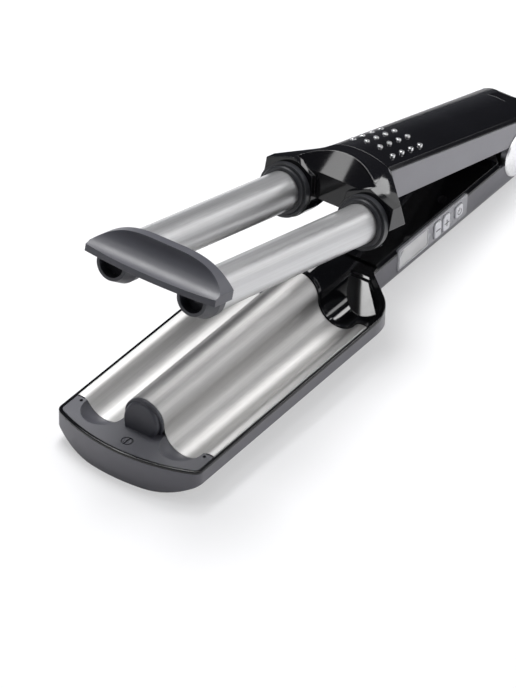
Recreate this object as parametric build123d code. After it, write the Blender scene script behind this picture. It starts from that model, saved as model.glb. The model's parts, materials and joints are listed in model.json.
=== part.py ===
from build123d import *
import os
from math import atan2, cos, radians, sin, sqrt, tan

# Double-barrel hair waver: a lower arm with an S-shaped wave plate, and a sprung upper arm
# with two heated barrels that close into the plate's two troughs.
# Working frame: X runs from the wave plate's front edge back to the hinge, +Y is the left
# side, +Z is up, and the barrel axes lie at Z = 0 when the waver is closed.  The upper arm is
# drawn closed, turned open about the hinge, and everything is moved to the part's own frame,
# whose origin is the bottom centre of the whole waver.

# ---- driving dimensions, millimetres and degrees ----------------------------------------
barrel_d = 22.0
barrel_wall = 1.2
barrel_pitch = 50.0
trough_r = 13.0            # trough of the wave plate, about the closed barrel axis
plate_len = 137.0
plate_t = 1.2
plate_edge_r = 0.7
flange_z = -4.6            # top of the plate's outer flange
flange_w = 2.6             # flat part of that flange
flange_round = 6.0         # rounding between trough and flange

head_front_x = -25.5
head_front_r = 105.0       # bow of the front edge seen from above
head_corner_r = 5.0
shoulder_x = 143.0         # where the head starts to narrow
shoulder_r = 30.0
shoulder_deg = 49.0
neck_r = 4.0
base_z = -23.0             # the surface that the waver stands on
flat_half_w = 16.0         # flat underside before the bottom curves up
side_edge_z = -13.5        # lower edge of the head's sides
wall = 2.2                 # housing walls
skirt_top_z = -6.5         # top edge of the lower housing
rim_w = 1.5                # black rim round the head
rim_top_z = -5.0
seam = 0.3                 # gap between parts that only lie side by side

handle_half_w = 19.0
handle_start_x = 150.0
handle_edge_r = 4.5
rear_x = 339.5
rear_corner_r = 6.0
deck_top_z = -3.2
deck_front_x = 184.0
deck_rear_x = 303.0
deck_t = 1.8

hinge_x = 322.0
hinge_z = -5.8
open_deg = 14.7
pin_r = 3.0
running = 0.05             # radial clearance of turning fits
fit_gap = 0.05             # clearance of parts pushed into each other
bush_r = 9.0               # bracket eyes round the hinge pin
ear_t = 1.6                # sheet of both hinge brackets
ear_in = 5.0               # lower bracket's ears inside the handle's sides
ear_apart = 2.6            # upper bracket's plates inside the ears
bracket_run = 17.0         # both brackets' reach in front of the pin
bracket_h = 7.0
cap_r = 14.0
cap_gap = 0.8              # ring gap between a cap and the upper arm
cap_proud = 0.9            # caps beyond the handle's sides
cap_edge = 0.8
stop_reach = 11.0          # stop tab behind the hinge
stop_drop = 1.6            # stop pad's top below the hinge
pad_t = 1.4
spring_wire = 1.6
spring_r = 5.0
spring_turns = 5.25

lobe_r = 15.5              # lower half of the yoke round each barrel
lobe_front_x = 152.0
lobe_flat_x = 156.0        # the lobes' undersides rise behind here
lobe_rise = 0.775
lobe_set_back = 2.0        # lobes' shoulders in front of the head's
socket_end_x = 156.5       # how far the barrels reach into the yoke
bowl_gap = 1.3             # heel bowls round the closed lobes
bowl_wall = 1.6
heel_proud = 0.8           # heel ring above the plate's surface
heel_top_z = -4.6
heel_lip_w = 1.3           # step round the bowls' openings
heel_lip_deep = 0.9
crown_z = 26.3             # top of the yoke's arch
web_front_x = 155.0
scoop_low_z = 14.8         # front edge of the scoop over the web
scoop_lean = 0.91          # how far the scoop leans back for each millimetre up
shoulder_foot_x = 168.0    # where the yoke starts to narrow, at Z = 0
pocket_x = 167.0           # hollow of the yoke, open to the handle
pocket_half_w = 14.0
seam_foot_x = 193.7        # slanted seam between yoke and handle, at Z = 0
seam_lean = 0.66

upper_floor_z = 0.3
side_front_z = 19.2        # top of the grey sides at the handle's front
side_rear_z = 14.4
bevel_in = 1.4             # bevel between side and crown
bevel_up = 2.0
crown_rise = 4.6           # crown above the bevel's top edge
cover_t = 1.8
cover_gap = 0.4            # shadow line between the cover and the grey sides
pin_x = 191.0              # four by four grip pips
pin_pitch_x = 9.2
pin_pitch_y = 8.4
pin_r_out = 1.5
pin_taper = 16
pin_proud = 0.9
rib_xs = (222.0, 254.0, 285.5)
upper_rear_x = 337.0
upper_corner_r = 9.0

collar_r = 15.0
collar_step_r = 13.4
collar_front_x = 146.5
barrel_front_x = 0.5
pod_r = 12.2
pod_front_x = -8.0
pod_nose_r = 9.0           # the end caps taper to this at the front
pod_full_x = 0.0           # and have their full width from here
recess_r = 7.2
recess_deep = 6.0
core_x = (16.0, 140.0)     # the aluminium cores inside the barrels
barrel_heater_t = 1.5
spigot_len = 14.0
hood_front_x = -14.0
hood_rear_x = 5.0
hood_bow = 3.5
hood_reach = 15.4          # hood's ends beyond the barrels' axes
hood_low_z = 2.4
hood_lip_z = 5.7
hood_top_z = 19.2
hood_rim = 6.0             # band along the hood's rear edge
hood_t = 0.9
hood_crown = ((15.4, 7.6), (9.0, 12.8), (0.5, 16.9), (-8.0, 18.7))  # from a barrel's axis

panel_x = (202.0, 270.0)
panel_z = (-17.6, -3.6)
panel_t = 1.6
panel_proud = 0.4
panel_ledge = 1.5          # rim of the recess that the panel seats on
window_x = (204.0, 231.0)
window_z = (-16.2, -5.6)
button_w = 6.4
button_z = (-15.6, -5.4)
minus_x = 239.7
plus_x = 248.2
power_x = 260.6
power_w = 7.0
power_z = (-13.6, -6.2)
button_gap = 0.35
button_proud = 1.1
button_flange = 0.8
button_travel = 0.6

board_t = 1.6
board_in = 5.6             # upright board inside the handle's side
main_board_x = (196.0, 284.0)
main_board_y = (-6.0, 15.0)
main_board_up = 2.6

gland_r = 4.8
gland_z = -12.0
gland_out = 8.0
gland_bore_r = 3.2

saddle_half_w = 7.0         # bars under the troughs
saddle_in = 11.0            # their ends inside the plate's ends
saddle_t = 1.2
lug_x = (60.0, 74.0)        # sensor lugs on the bars
lug_w = 6.0
lug_t = 4.0
sensor_r = 1.25
plate_heater_t = 1.2
plate_heater_in = 17.0
clamp_t = 0.6
clamp_w = 12.0
clamp_xs = (38.0, 98.0)
body_low_z = -15.0         # underside of the front moulding
end_wall = 7.0             # its deep part inside the head's outline
dish_len = 16.5
stub_ring_w = 1.5          # bead that ends the ridge
dome_foot_x = -6.4
dome_top_x = -2.2
dome_round = 1.7
rim_round = 0.7

face_foot = (-15.5, 0.3)    # corners of the yoke's front, as y from a barrel's axis and z
face_inner = (-14.0, 12.2)
face_top = (-0.6, 18.6)
face_outer_z = 12.8         # top of the yoke's upright sides

screw_r = 1.5
screw_head_r = 2.7
screw_head_t = 1.4
end_screw_x = -15.6
heel_screws = ((170.0, 12.2), (170.0, -12.2))
deck_screw = (292.0, 0.0)
cover_screw_xs = (205.0, 238.0, 272.0)
cover_sink = 0.8           # their heads' seat in the liner
tongue_end_x = 212.0
tongue_t = 2.4
tongue_half_w = 11.0

# ---- sizes worked out from the driving dimensions ----------------------------------------
barrel_r = barrel_d / 2
side_y = barrel_pitch / 2              # each barrel's axis
ridge_r = side_y - trough_r            # ridge and trough arcs meet upright
flange_y = side_y + sqrt((trough_r + flange_round) ** 2 - (flange_z - flange_round) ** 2)
plate_half_w = flange_y + flange_w
head_half_w = plate_half_w + seam + rim_w
yoke_half_w = side_y + lobe_r
hood_half_w = side_y + hood_reach
lower_ear_y = handle_half_w - ear_in   # outer faces of the brackets' ears and plates
upper_ear_y = lower_ear_y - ear_apart
cap_out_y = handle_half_w + cap_proud
floor_z = base_z + wall                # inner floor of the lower housing
ledge_z = flange_z - plate_t           # what the plate's flange rests on
gland_end_x = rear_x + gland_out
saddle_top_z = -trough_r - plate_t
heater_top_z = saddle_top_z - saddle_t
clamp_top_z = heater_top_z - plate_heater_t
liner_top_z = upper_floor_z + cover_t
cover_front_x = seam_foot_x - 30
far = 400.0                            # beyond every piece, for cutting away
origin_x = (head_front_x + gland_end_x) / 2
LEFT, RIGHT = 1, -1


# ---- helpers -----------------------------------------------------------------------------
def block(x, y, z):
    """A box between two limits on each axis."""
    size = (x[1] - x[0], y[1] - y[0], z[1] - z[0])
    return Pos((x[0] + x[1]) / 2, (y[0] + y[1]) / 2, (z[0] + z[1]) / 2) * Box(*size)


def rod_x(r, x0, x1, y=0.0, z=0.0):
    return Pos((x0 + x1) / 2, y, z) * Rot(0, 90, 0) * Cylinder(r, x1 - x0)


def rod_y(r, y0, y1, x, z):
    return Pos(x, (y0 + y1) / 2, z) * Rot(90, 0, 0) * Cylinder(r, y1 - y0)


def rod_z(r, z0, z1, x, y):
    return Pos(x, y, (z0 + z1) / 2) * Cylinder(r, z1 - z0)


def slab(face, z0, z1):
    """A plan outline raised from z0 to z1."""
    return extrude(Pos(0, 0, z0) * face, amount=z1 - z0, dir=(0, 0, 1))


def across(points, y0, y1):
    """A side profile given as (x, z) points, extruded from y0 to y1."""
    corners = [(x, y0, z) for x, z in points]
    return extrude(make_face(Polyline(*corners, close=True)), amount=y1 - y0, dir=(0, 1, 0))


def along(points, x0, x1):
    """A cross-section given as (y, z) points, extruded from x0 to x1."""
    corners = [(x0, y, z) for y, z in points]
    return extrude(make_face(Polyline(*corners, close=True)), amount=x1 - x0, dir=(1, 0, 0))


def both(points):
    """Right-hand (y, z) points followed by their mirror images, as one closed outline."""
    return points + [(-y, z) for y, z in reversed(points)]


def closed(shape):
    return mirror(shape, about=Plane.XZ) + shape


def save(name, shape):
    shape.label = name
    export_step(Pos(-origin_x, 0, -base_z) * shape, f"parts/{name}.step")


def save_open(name, shape):
    """Turn a piece of the closed upper arm open about the hinge, then save it."""
    save(name, about_hinge(shape, open_deg))


def screw(x, y, z_head, z_tip):
    """A pan-head screw on end: z_head is the outside of its head, z_tip the shank's end."""
    up = 1 if z_head > z_tip else -1
    seat = z_head - up * screw_head_t
    head = rod_z(screw_head_r, min(seat, z_head), max(seat, z_head), x, y)
    slot = block((x - screw_head_r, x + screw_head_r), (y - 0.35, y + 0.35),
                 (z_head - 0.6, z_head + 0.6))
    return head - slot + rod_z(screw_r, min(z_tip, seat), max(z_tip, seat), x, y)


def about_hinge(shape, angle):
    return Pos(hinge_x, 0, hinge_z) * Rot(0, angle, 0) * Pos(-hinge_x, 0, -hinge_z) * shape


# ---- outlines shared by several pieces ---------------------------------------------------
def head_outline():
    """Plan of the head: bowed front, straight sides, shoulders narrowing to the handle."""
    sag = head_front_r - sqrt(head_front_r ** 2 - head_half_w ** 2)
    corner_x = head_front_x + sag
    phi = radians(shoulder_deg)
    arc_mid = (shoulder_x + shoulder_r * sin(phi / 2),
               head_half_w - shoulder_r * (1 - cos(phi / 2)))
    arc_end = (shoulder_x + shoulder_r * sin(phi), head_half_w - shoulder_r * (1 - cos(phi)))
    neck_x = arc_end[0] + (arc_end[1] - handle_half_w) / tan(phi)
    tail_x = neck_x + 2 * neck_r
    edges = [ThreePointArc((corner_x, -head_half_w), (head_front_x, 0), (corner_x, head_half_w)),
             Line((tail_x, -handle_half_w), (tail_x, handle_half_w))]
    for s in (LEFT, RIGHT):
        edges.append(Line((corner_x, s * head_half_w), (shoulder_x, s * head_half_w)))
        edges.append(ThreePointArc((shoulder_x, s * head_half_w), (arc_mid[0], s * arc_mid[1]),
                                   (arc_end[0], s * arc_end[1])))
        edges.append(Line((arc_end[0], s * arc_end[1]), (neck_x, s * handle_half_w)))
        edges.append(Line((neck_x, s * handle_half_w), (tail_x, s * handle_half_w)))
    face = make_face(edges)
    front = face.vertices().filter_by(lambda v: abs(v.X - corner_x) < 0.01)
    face = fillet(front, head_corner_r)
    neck = face.vertices().filter_by(lambda v: abs(v.X - neck_x) < 0.01)
    return fillet(neck, neck_r)


def inset(distance):
    """The head's plan drawn in by a distance."""
    return offset(head_outline(), amount=-distance, kind=Kind.INTERSECTION)


def wave_points(drop):
    """Corner, centre and tangent points of the wave line lying `drop` under the plate's top."""
    reach = trough_r + flange_round
    round_z = flange_z - flange_round
    round_y = side_y + sqrt(reach ** 2 - round_z ** 2)
    lean = atan2(round_z, round_y - side_y)
    trough = trough_r + drop
    rounding = flange_round - drop
    tangent = (side_y + trough * cos(lean), trough * sin(lean))
    half_way = (lean + radians(180) + radians(90)) / 2
    crest = (round_y + rounding * cos(half_way), round_z + rounding * sin(half_way))
    return tangent, crest, (round_y, round_z + rounding)


def wave_line(x, drop, half_w=plate_half_w):
    """The wave across the arm at x: ridge, two troughs, two rounded flanges."""
    ridge = ridge_r - drop
    trough = trough_r + drop
    tangent, crest, flange = wave_points(drop)
    slant = ridge * sin(radians(45))
    edges = []
    for s in (LEFT, RIGHT):
        edges.append(ThreePointArc((x, 0, ridge), (x, s * slant, slant), (x, s * ridge, 0)))
        edges.append(ThreePointArc((x, s * ridge, 0), (x, s * side_y, -trough),
                                   (x, s * tangent[0], tangent[1])))
        edges.append(ThreePointArc((x, s * tangent[0], tangent[1]), (x, s * crest[0], crest[1]),
                                   (x, s * flange[0], flange[1])))
        edges.append(Line((x, s * flange[0], flange[1]), (x, s * half_w, flange[1])))
    return edges


def wave_sheet(x0, x1, top, bottom, half_w=plate_half_w):
    """A sheet between two parallel wave lines, from x0 to x1."""
    edges = wave_line(x0, top, half_w) + wave_line(x0, bottom, half_w)
    for s in (LEFT, RIGHT):
        edges.append(Line((x0, s * half_w, flange_z - top), (x0, s * half_w, flange_z - bottom)))
    return extrude(make_face(edges), amount=x1 - x0, dir=(1, 0, 0))


def wave_plate():
    """The formed sheet, with its outer edges rounded."""
    sheet = wave_sheet(0, plate_len, 0, plate_t)
    outer = sheet.edges().filter_by(Axis.X).filter_by(lambda e: abs(e.center().Y) > plate_half_w - 0.1)
    return fillet(outer.filter_by(lambda e: e.center().Z > flange_z - 0.1), plate_edge_r)


def lobes(clear, x_front):
    """The two round lobes under the closed yoke, grown by `clear` for the bowls they enter."""
    r = lobe_r + clear
    drop = clear * sqrt(1 + lobe_rise ** 2)
    rear = lobe_flat_x + (lobe_r + drop + 8) / lobe_rise
    side = [(x_front, -r - 1), (lobe_flat_x, -lobe_r - drop), (rear, 8), (x_front, 8)]
    lobe = rod_x(r, x_front, rear, side_y)
    plan = Pos(-lobe_set_back, 0, 0) * inset(head_half_w - yoke_half_w - fit_gap - clear)
    return closed(lobe & across(side, 0, head_half_w)) & slab(plan, -r - 2, 9)


def seam_prism(x0, x1, z0, z1):
    """The space on the handle's side of the slanted seam between yoke and handle."""
    foot = seam_foot_x + x0
    side = [(foot - seam_lean * z0, z0), (x1, z0), (x1, z1), (foot - seam_lean * z1, z1)]
    return across(side, -far, far)


def seam_level(rise):
    """Height at the slanted seam of a line `rise` above the top of the grey sides."""
    slope = (side_front_z - side_rear_z) / (upper_rear_x - deck_front_x)
    level = side_front_z + rise - slope * (seam_foot_x - deck_front_x)
    return level / (1 - slope * seam_lean)


# ---- lower arm ---------------------------------------------------------------------------
def boat_section(inside):
    """Cross-section of the head: flat underside curving up to upright sides."""
    w = head_half_w - inside
    run = head_half_w - flat_half_w
    rise = side_edge_z - base_z
    r = (run ** 2 + rise ** 2) / (2 * rise)
    centre_z = base_z + r
    low = base_z + inside
    end_z = centre_z - sqrt((r - inside) ** 2 - (w - flat_half_w) ** 2)
    half = (w + flat_half_w) / 2
    half_z = centre_z - sqrt((r - inside) ** 2 - (half - flat_half_w) ** 2)
    x = head_front_x - 1
    edges = [Line((x, -flat_half_w, low), (x, flat_half_w, low)),
             Line((x, -w, skirt_top_z), (x, w, skirt_top_z))]
    for s in (LEFT, RIGHT):
        edges.append(ThreePointArc((x, s * flat_half_w, low), (x, s * half, half_z),
                                   (x, s * w, end_z)))
        edges.append(Line((x, s * w, end_z), (x, s * w, skirt_top_z)))
    return extrude(make_face(edges), amount=deck_front_x - head_front_x + 10, dir=(1, 0, 0))


def lower_block(inside):
    """The lower housing's outer form, or its hollow when drawn in by the wall."""
    head = boat_section(inside) & slab(inset(inside) if inside else head_outline(),
                                       base_z, skirt_top_z)
    w = handle_half_w - inside
    handle = block((handle_start_x, rear_x - inside), (-w, w), (base_z + inside, skirt_top_z))
    bottom = handle.edges().filter_by(Axis.X).group_by(Axis.Z)[0]
    handle = fillet(bottom, handle_edge_r - inside)
    rear = handle.edges().filter_by(Axis.Z).group_by(Axis.X)[-1]
    handle = fillet(rear, rear_corner_r - inside)
    return head + handle


def lower_housing():
    """Grey outer shell of the lower arm: boat-shaped head and boxy handle, open on top."""
    shell = lower_block(0) - lower_block(wall)
    shell += rod_z(screw_r + 1.9, floor_z - 0.5, body_low_z, end_screw_x, 0)
    shell -= rod_z(screw_r, floor_z + 0.6, 0, end_screw_x, 0)
    for x in clamp_xs:
        shell += rod_z(screw_r + 1.9, floor_z - 0.5, clamp_top_z - clamp_t, x, 0)
        shell -= rod_z(screw_r, floor_z + 0.6, 0, x, 0)
    for x, y in heel_screws + (deck_screw,):
        shell += rod_z(screw_head_r + 1.4, floor_z - 0.5, floor_z + 2.2, x, y)
        shell -= rod_z(screw_head_r + 0.2, base_z - 1, floor_z + 0.6, x, y)
        shell -= rod_z(screw_r + 0.1, base_z, floor_z + 3, x, y)
    shell -= rod_y(cap_r + 2 * fit_gap, -far, far, hinge_x, hinge_z)
    shell -= panel_space()
    shell -= rod_x(gland_r + running, rear_x - wall - 1, rear_x + 1, 0, gland_z)
    return shell


def panel_space():
    """The recess in the handle's right side that the control panel seats in."""
    seat = -handle_half_w + panel_t - panel_proud
    recess = block((panel_x[0] - 0.1, panel_x[1] + 0.1), (-handle_half_w - 2, seat),
                   (panel_z[0] - 0.1, panel_z[1] + 2))
    opening = block((panel_x[0] + panel_ledge, panel_x[1] - panel_ledge),
                    (seat - 0.1, -handle_half_w + wall + 0.2), (panel_z[0] + panel_ledge, 0))
    return recess + opening


def bowls():
    """The heel's two round bowls, with a step round their openings."""
    front = plate_len + 2.5
    step = lobes(bowl_gap + heel_lip_w, front)
    step &= block((front, far), (-far, far), (heel_top_z - heel_lip_deep, 0))
    return lobes(bowl_gap, front) + step


def head_frame():
    """Black rim, plate ledge and heel of the head, with the bowls that the yoke closes into."""
    outer = head_outline()
    rim = slab(outer, skirt_top_z, rim_top_z)
    rim = fillet(rim.edges().group_by(Axis.Z)[-1], rim_round)
    rim -= slab(inset(rim_w), skirt_top_z - 1, 0)
    inside = inset(wall + 0.1)
    ledge = slab(inside, -9.0, skirt_top_z) + slab(inset(rim_w - 0.3), skirt_top_z, ledge_z)
    ledge -= slab(inset(head_half_w - flange_y - 0.2), -10, 0)
    heel_x = plate_len + seam
    behind = block((heel_x, far), (-far, far), (-far, far))
    heel = slab(outer, skirt_top_z, heel_top_z)
    heel = fillet(heel.edges().group_by(Axis.Z)[-1], rim_round) & behind
    heel += slab(inside, skirt_top_z - 2, skirt_top_z) & behind
    shells = lobes(bowl_gap + bowl_wall, heel_x) & slab(inside, floor_z + 0.1, rim_top_z)
    ring = wave_sheet(heel_x, heel_x + 2.4, -heel_proud, 2.2, plate_half_w - heel_proud)
    ridge = rod_x(ridge_r, heel_x + 0.4, heel_x + 1.8)
    bulkhead = ridge & slab(inside, skirt_top_z, ridge_r)
    frame = rim + ledge + heel + shells - bowls() + ring + bulkhead
    for s in (LEFT, RIGHT):
        frame -= rod_x(trough_r - heel_proud, heel_x - 1, heel_x + 5, s * side_y)
    for x, y in heel_screws:
        frame += rod_z(screw_r + 1.6, floor_z + 2.2, skirt_top_z - 1.5, x, y) - bowls()
        frame -= rod_z(screw_r, floor_z + 1, floor_z + 8, x, y)
    return frame - block((deck_front_x - seam, far), (-far, far), (-far, 0))


def dishes():
    """Two half-bowls in front of the troughs that take the barrels' end caps."""
    arc = [(-dish_len * sin(radians(a)), trough_r * cos(radians(a))) for a in (0, 45, 90)]
    edges = [ThreePointArc(*[(x, side_y + r) for x, r in arc])]
    edges.append(Polyline((-dish_len, side_y), (1, side_y), (1, side_y + trough_r), (0, side_y + trough_r)))
    return closed(revolve(make_face(edges), Axis((0, side_y, 0), (1, 0, 0)), 360))


def end_piece():
    """Dark front moulding: deck, domed stub that closes the ridge, and two dishes."""
    front = block((head_front_x, -seam), (-far, far), (-far, far))
    deck = slab(inset(rim_w + 0.5), ledge_z, rim_top_z - 0.2)
    body = slab(inset(end_wall), body_low_z, ledge_z)
    ring = rod_x(ridge_r, -stub_ring_w - seam, -seam)
    ring = fillet(ring.edges().group_by(Axis.X)[0], stub_ring_w / 2)
    lean = (dome_top_x - dome_foot_x) / (ridge_r - rim_top_z)
    low_x = dome_foot_x - lean * (ridge_r + rim_top_z)
    dome = rod_x(ridge_r - stub_ring_w, 2 * dome_foot_x, -1)
    dome &= across([(low_x, -ridge_r), (dome_top_x, ridge_r), (0, ridge_r), (0, -ridge_r)], -far, far)
    dome = fillet(dome.edges().filter_by(GeomType.ELLIPSE), dome_round)
    stub = (ring + dome) & block((-far, 0), (-far, far), (rim_top_z - 1, far))
    piece = ((deck + body) & front) - dishes() + stub
    piece -= rod_z(screw_head_r + 0.5, rim_top_z - screw_head_t - 0.5, 0, end_screw_x, 0)
    piece -= rod_z(screw_r + 0.1, -far, 0, end_screw_x, 0)
    for s in (LEFT, RIGHT):
        piece -= rod_z(0.9, rim_top_z - 0.8, 0, -2.6, s * (head_half_w - 6))
    return piece


def plate_saddle(side):
    """Aluminium bar under one trough, cut to the trough's curve, with a lug for its sensor."""
    y = side * side_y
    bar = block((saddle_in, plate_len - saddle_in), (y - saddle_half_w, y + saddle_half_w),
                (heater_top_z, saddle_top_z + saddle_half_w))
    inner = y - side * saddle_half_w
    reach = sorted((inner + side, inner - side * (lug_w - 1)))
    lug = block(lug_x, reach, (heater_top_z, heater_top_z + lug_t))
    lug -= rod_x(sensor_r + fit_gap, 0, plate_len, inner - side * lug_w / 2, heater_top_z + lug_t / 2)
    return bar + lug - rod_x(trough_r + plate_t, 0, plate_len, y)


def sensor(side):
    """Small round sensor lying in its saddle's lug."""
    y = side * (side_y - saddle_half_w - lug_w / 2)
    return rod_x(sensor_r, lug_x[0] + 1, lug_x[1] - 1, y, heater_top_z + lug_t / 2)


def plate_heater(side):
    y = side * side_y
    return block((plate_heater_in, plate_len - plate_heater_in),
                 (y - saddle_half_w + 1, y + saddle_half_w - 1), (clamp_top_z, heater_top_z))


def heater_clamps():
    """Spring-steel crossbars that press both heaters up against their saddles."""
    strips = []
    for x in clamp_xs:
        reach = side_y + saddle_half_w / 2
        strip = block((x - clamp_w / 2, x + clamp_w / 2), (-reach, reach),
                      (clamp_top_z - clamp_t, clamp_top_z))
        strips.append(strip - rod_z(screw_r + 0.1, -far, 0, x, 0))
    return Compound(children=strips)


def clamp_screws():
    head_z = clamp_top_z + screw_head_t
    return Compound(children=[screw(x, 0, head_z, floor_z + 0.8) for x in clamp_xs])


def handle_deck():
    """Black inner cover of the lower handle."""
    w = handle_half_w
    skin = both([(w, skirt_top_z), (w, skirt_top_z + 1.4), (w - 1.8, deck_top_z)])
    hollow = both([(w - 2.6, skirt_top_z - 1), (w - 2.6, deck_top_z - deck_t)])
    deck = along(skin, deck_front_x, deck_rear_x)
    deck -= along(hollow, deck_front_x + deck_t, deck_rear_x - deck_t)
    seat = -w + panel_t - panel_proud
    deck -= block((panel_x[0] - 0.1, panel_x[1] + 0.1), (-w - 1, seat), (-20, 0))
    deck -= block((panel_x[0] + panel_ledge, panel_x[1] - panel_ledge), (-w, -w + 3),
                  (-20, deck_top_z - deck_t))
    x, y = deck_screw
    deck += rod_z(screw_r + 1.6, floor_z + 2.2, deck_top_z - 1, x, y)
    return deck - rod_z(screw_r, floor_z + 1, deck_top_z - 3, x, y)


def control_panel():
    out = -handle_half_w - panel_proud
    plate = block(panel_x, (out, out + panel_t), panel_z)
    plate = fillet(plate.edges().filter_by(Axis.Y), 1.6)
    face = plate.edges().group_by(Axis.Y)[0]
    plate = chamfer(face, 0.3)
    plate -= window_shape(fit_gap, out - 1, out + panel_t + 1)
    for x, w, z in button_places():
        hole = block((x - w / 2 - button_gap, x + w / 2 + button_gap), (out - 1, out + panel_t + 1),
                     (z[0] - button_gap, z[1] + button_gap))
        plate -= fillet(hole.edges().filter_by(Axis.Y), 2.2)
    return plate


def window_shape(gap, y0, y1):
    """The display window's outline, with one corner cut off."""
    x0, x1 = window_x[0] - gap, window_x[1] + gap
    z0, z1 = window_z[0] - gap, window_z[1] + gap
    return across([(x0, z0), (x1, z0), (x1, z1), (x0 + 4, z1), (x0, z1 - 4)], y0, y1)


def lcd_window():
    out = -handle_half_w - panel_proud
    return window_shape(0, out + 0.2, out + panel_t)


def lcd_module():
    y = -handle_half_w - panel_proud + panel_t
    return block((window_x[0] + 0.5, window_x[1] - 0.5), (y, board_y()),
                 (window_z[0] + 0.5, deck_top_z - deck_t - 1))


def board_y():
    """Outer face of the upright control board."""
    return -handle_half_w + board_in


def control_board():
    y = board_y()
    board = block((panel_x[0] + 1, panel_x[1] - 1), (y, y + board_t),
                  (floor_z + 0.6, deck_top_z - deck_t - 0.6))
    for x in (panel_x[0] + 10, panel_x[1] - 10):
        board += block((x - 2, x + 2), (y, y + 2 * board_t), (floor_z, floor_z + 4))
    return board


def button_places():
    return [(minus_x, button_w, button_z), (plus_x, button_w, button_z), (power_x, power_w, power_z)]


def tact_switches():
    y = board_y()
    bodies = [block((x - 2.5, x + 2.5), (y - 1.6, y), (sum(z) / 2 - 2.5, sum(z) / 2 + 2.5))
              for x, w, z in button_places()]
    return Compound(children=bodies)


def button(x, w, z):
    """A side button: cap through the panel, flange behind it, stem towards its switch."""
    out = -handle_half_w - panel_proud
    cap = block((x - w / 2, x + w / 2), (out - button_proud, out + panel_t + 0.4), z)
    cap = fillet(cap.edges().filter_by(Axis.Y), 1.9)
    cap = chamfer(cap.edges().group_by(Axis.Y)[0], 0.4)
    inner = out + panel_t + seam
    cap += block((x - w / 2 - button_flange, x + w / 2 + button_flange), (inner, inner + 0.8),
                 (z[0] - button_flange / 2, z[1] - button_flange / 2))
    stem = block((x - 1.2, x + 1.2), (inner - 0.1, board_y() - 1.6 - button_travel - seam),
                 (sum(z) / 2 - 1.2, sum(z) / 2 + 1.2))
    return cap + stem


def main_board():
    """Mains board on four feet, with its relay, capacitor and heat sink."""
    x0, x1 = main_board_x
    y0, y1 = main_board_y
    under = floor_z + main_board_up
    top = under + board_t
    board = block((x0, x1), (y0, y1), (under, top))
    for x in (x0 + 4, x1 - 4):
        for y in (y0 + 4, y1 - 4):
            board += rod_z(2.0, floor_z, under, x, y)
    relay = block((x0 + 16, x0 + 30), (y1 - 13, y1 - 3), (top, top + 6.8))
    cap = rod_z(4.5, top, top + 7.8, x0 + 44, y1 - 9)
    sink = block((x1 - 32, x1 - 14), (y1 - 14, y1 - 12), (top, top + 8.3))
    return board + relay + cap + sink


def cord_gland():
    """Swivel bush in the rear wall that a mains lead would leave through."""
    x = rear_x
    bush = rod_x(gland_r, x - wall - 1.8, gland_end_x, 0, gland_z)
    tip = bush.edges().group_by(Axis.X)[-1]
    bush = chamfer(tip, 1.2)
    bush += rod_x(gland_r + 1.1, x - wall - 1.8, x - wall - seam, 0, gland_z)
    bush += rod_x(gland_r + 0.5, x + seam, x + 2.0, 0, gland_z)
    return bush - rod_x(gland_bore_r, x - 10, gland_end_x + 1, 0, gland_z)


def housing_screws():
    """Screws from below that hold the heel and the deck down."""
    seat = floor_z + 0.6
    return Compound(children=[screw(x, y, seat - screw_head_t, floor_z + 7)
                              for x, y in heel_screws + (deck_screw,)])


# ---- hinge -------------------------------------------------------------------------------
def eye(y0, y1):
    return rod_y(bush_r, y0, y1, hinge_x, hinge_z)


def pin_hole(gap):
    return rod_y(pin_r + gap, -far, far, hinge_x, hinge_z)


def lower_bracket():
    """Steel bracket on the handle's floor: two ears for the pin, and a tab for the stop pad."""
    y0, y1 = lower_ear_y - ear_t, lower_ear_y
    base = block((hinge_x - bracket_run, hinge_x + stop_reach), (-y1, y1), (floor_z, floor_z + ear_t))
    web = [(hinge_x - bracket_run + 3, floor_z), (hinge_x + bush_r, floor_z), (hinge_x + bush_r, hinge_z),
           (hinge_x - bush_r, hinge_z)]
    ear = eye(y0, y1) + across(web, y0, y1)
    tab = block((hinge_x + stop_reach - ear_t, hinge_x + stop_reach), (-y0 + 1, y0 - 1),
                (floor_z, hinge_z - stop_drop - pad_t))
    return base + closed(ear) + tab - pin_hole(running)


def stop_pad():
    """Rubber pad that the upper bracket's tails rest on when the waver is open."""
    y = lower_ear_y - ear_t - 1
    return block((hinge_x + stop_reach - ear_t, hinge_x + stop_reach + 1.5), (-y, y),
                 (hinge_z - stop_drop - pad_t, hinge_z - stop_drop))


def upper_bracket():
    """Steel bracket of the upper arm: two plates on the pin, a crossbar, and two stop tails."""
    y0, y1 = upper_ear_y - ear_t, upper_ear_y
    front = hinge_x - 2 * bracket_run
    top = liner_top_z + bracket_h
    arm = [(front, liner_top_z), (hinge_x - bracket_run, liner_top_z), (hinge_x - bush_r, hinge_z),
           (hinge_x, hinge_z + bush_r), (hinge_x - bracket_run + 1, top), (front, top)]
    tail = block((hinge_x + 5, hinge_x + stop_reach + 1), (y0, y1),
                 (hinge_z - stop_drop + seam, hinge_z + 2.5))
    plate = eye(y0, y1) + across(arm, y0, y1) + about_hinge(tail, -open_deg)
    cross = block((front, front + 2 * bracket_h), (-y1, y1), (liner_top_z, liner_top_z + ear_t))
    return closed(plate) + cross - pin_hole(running)


def hinge_pin():
    return rod_y(pin_r, -lower_ear_y - 1.2, lower_ear_y + 1.2, hinge_x, hinge_z)


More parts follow.
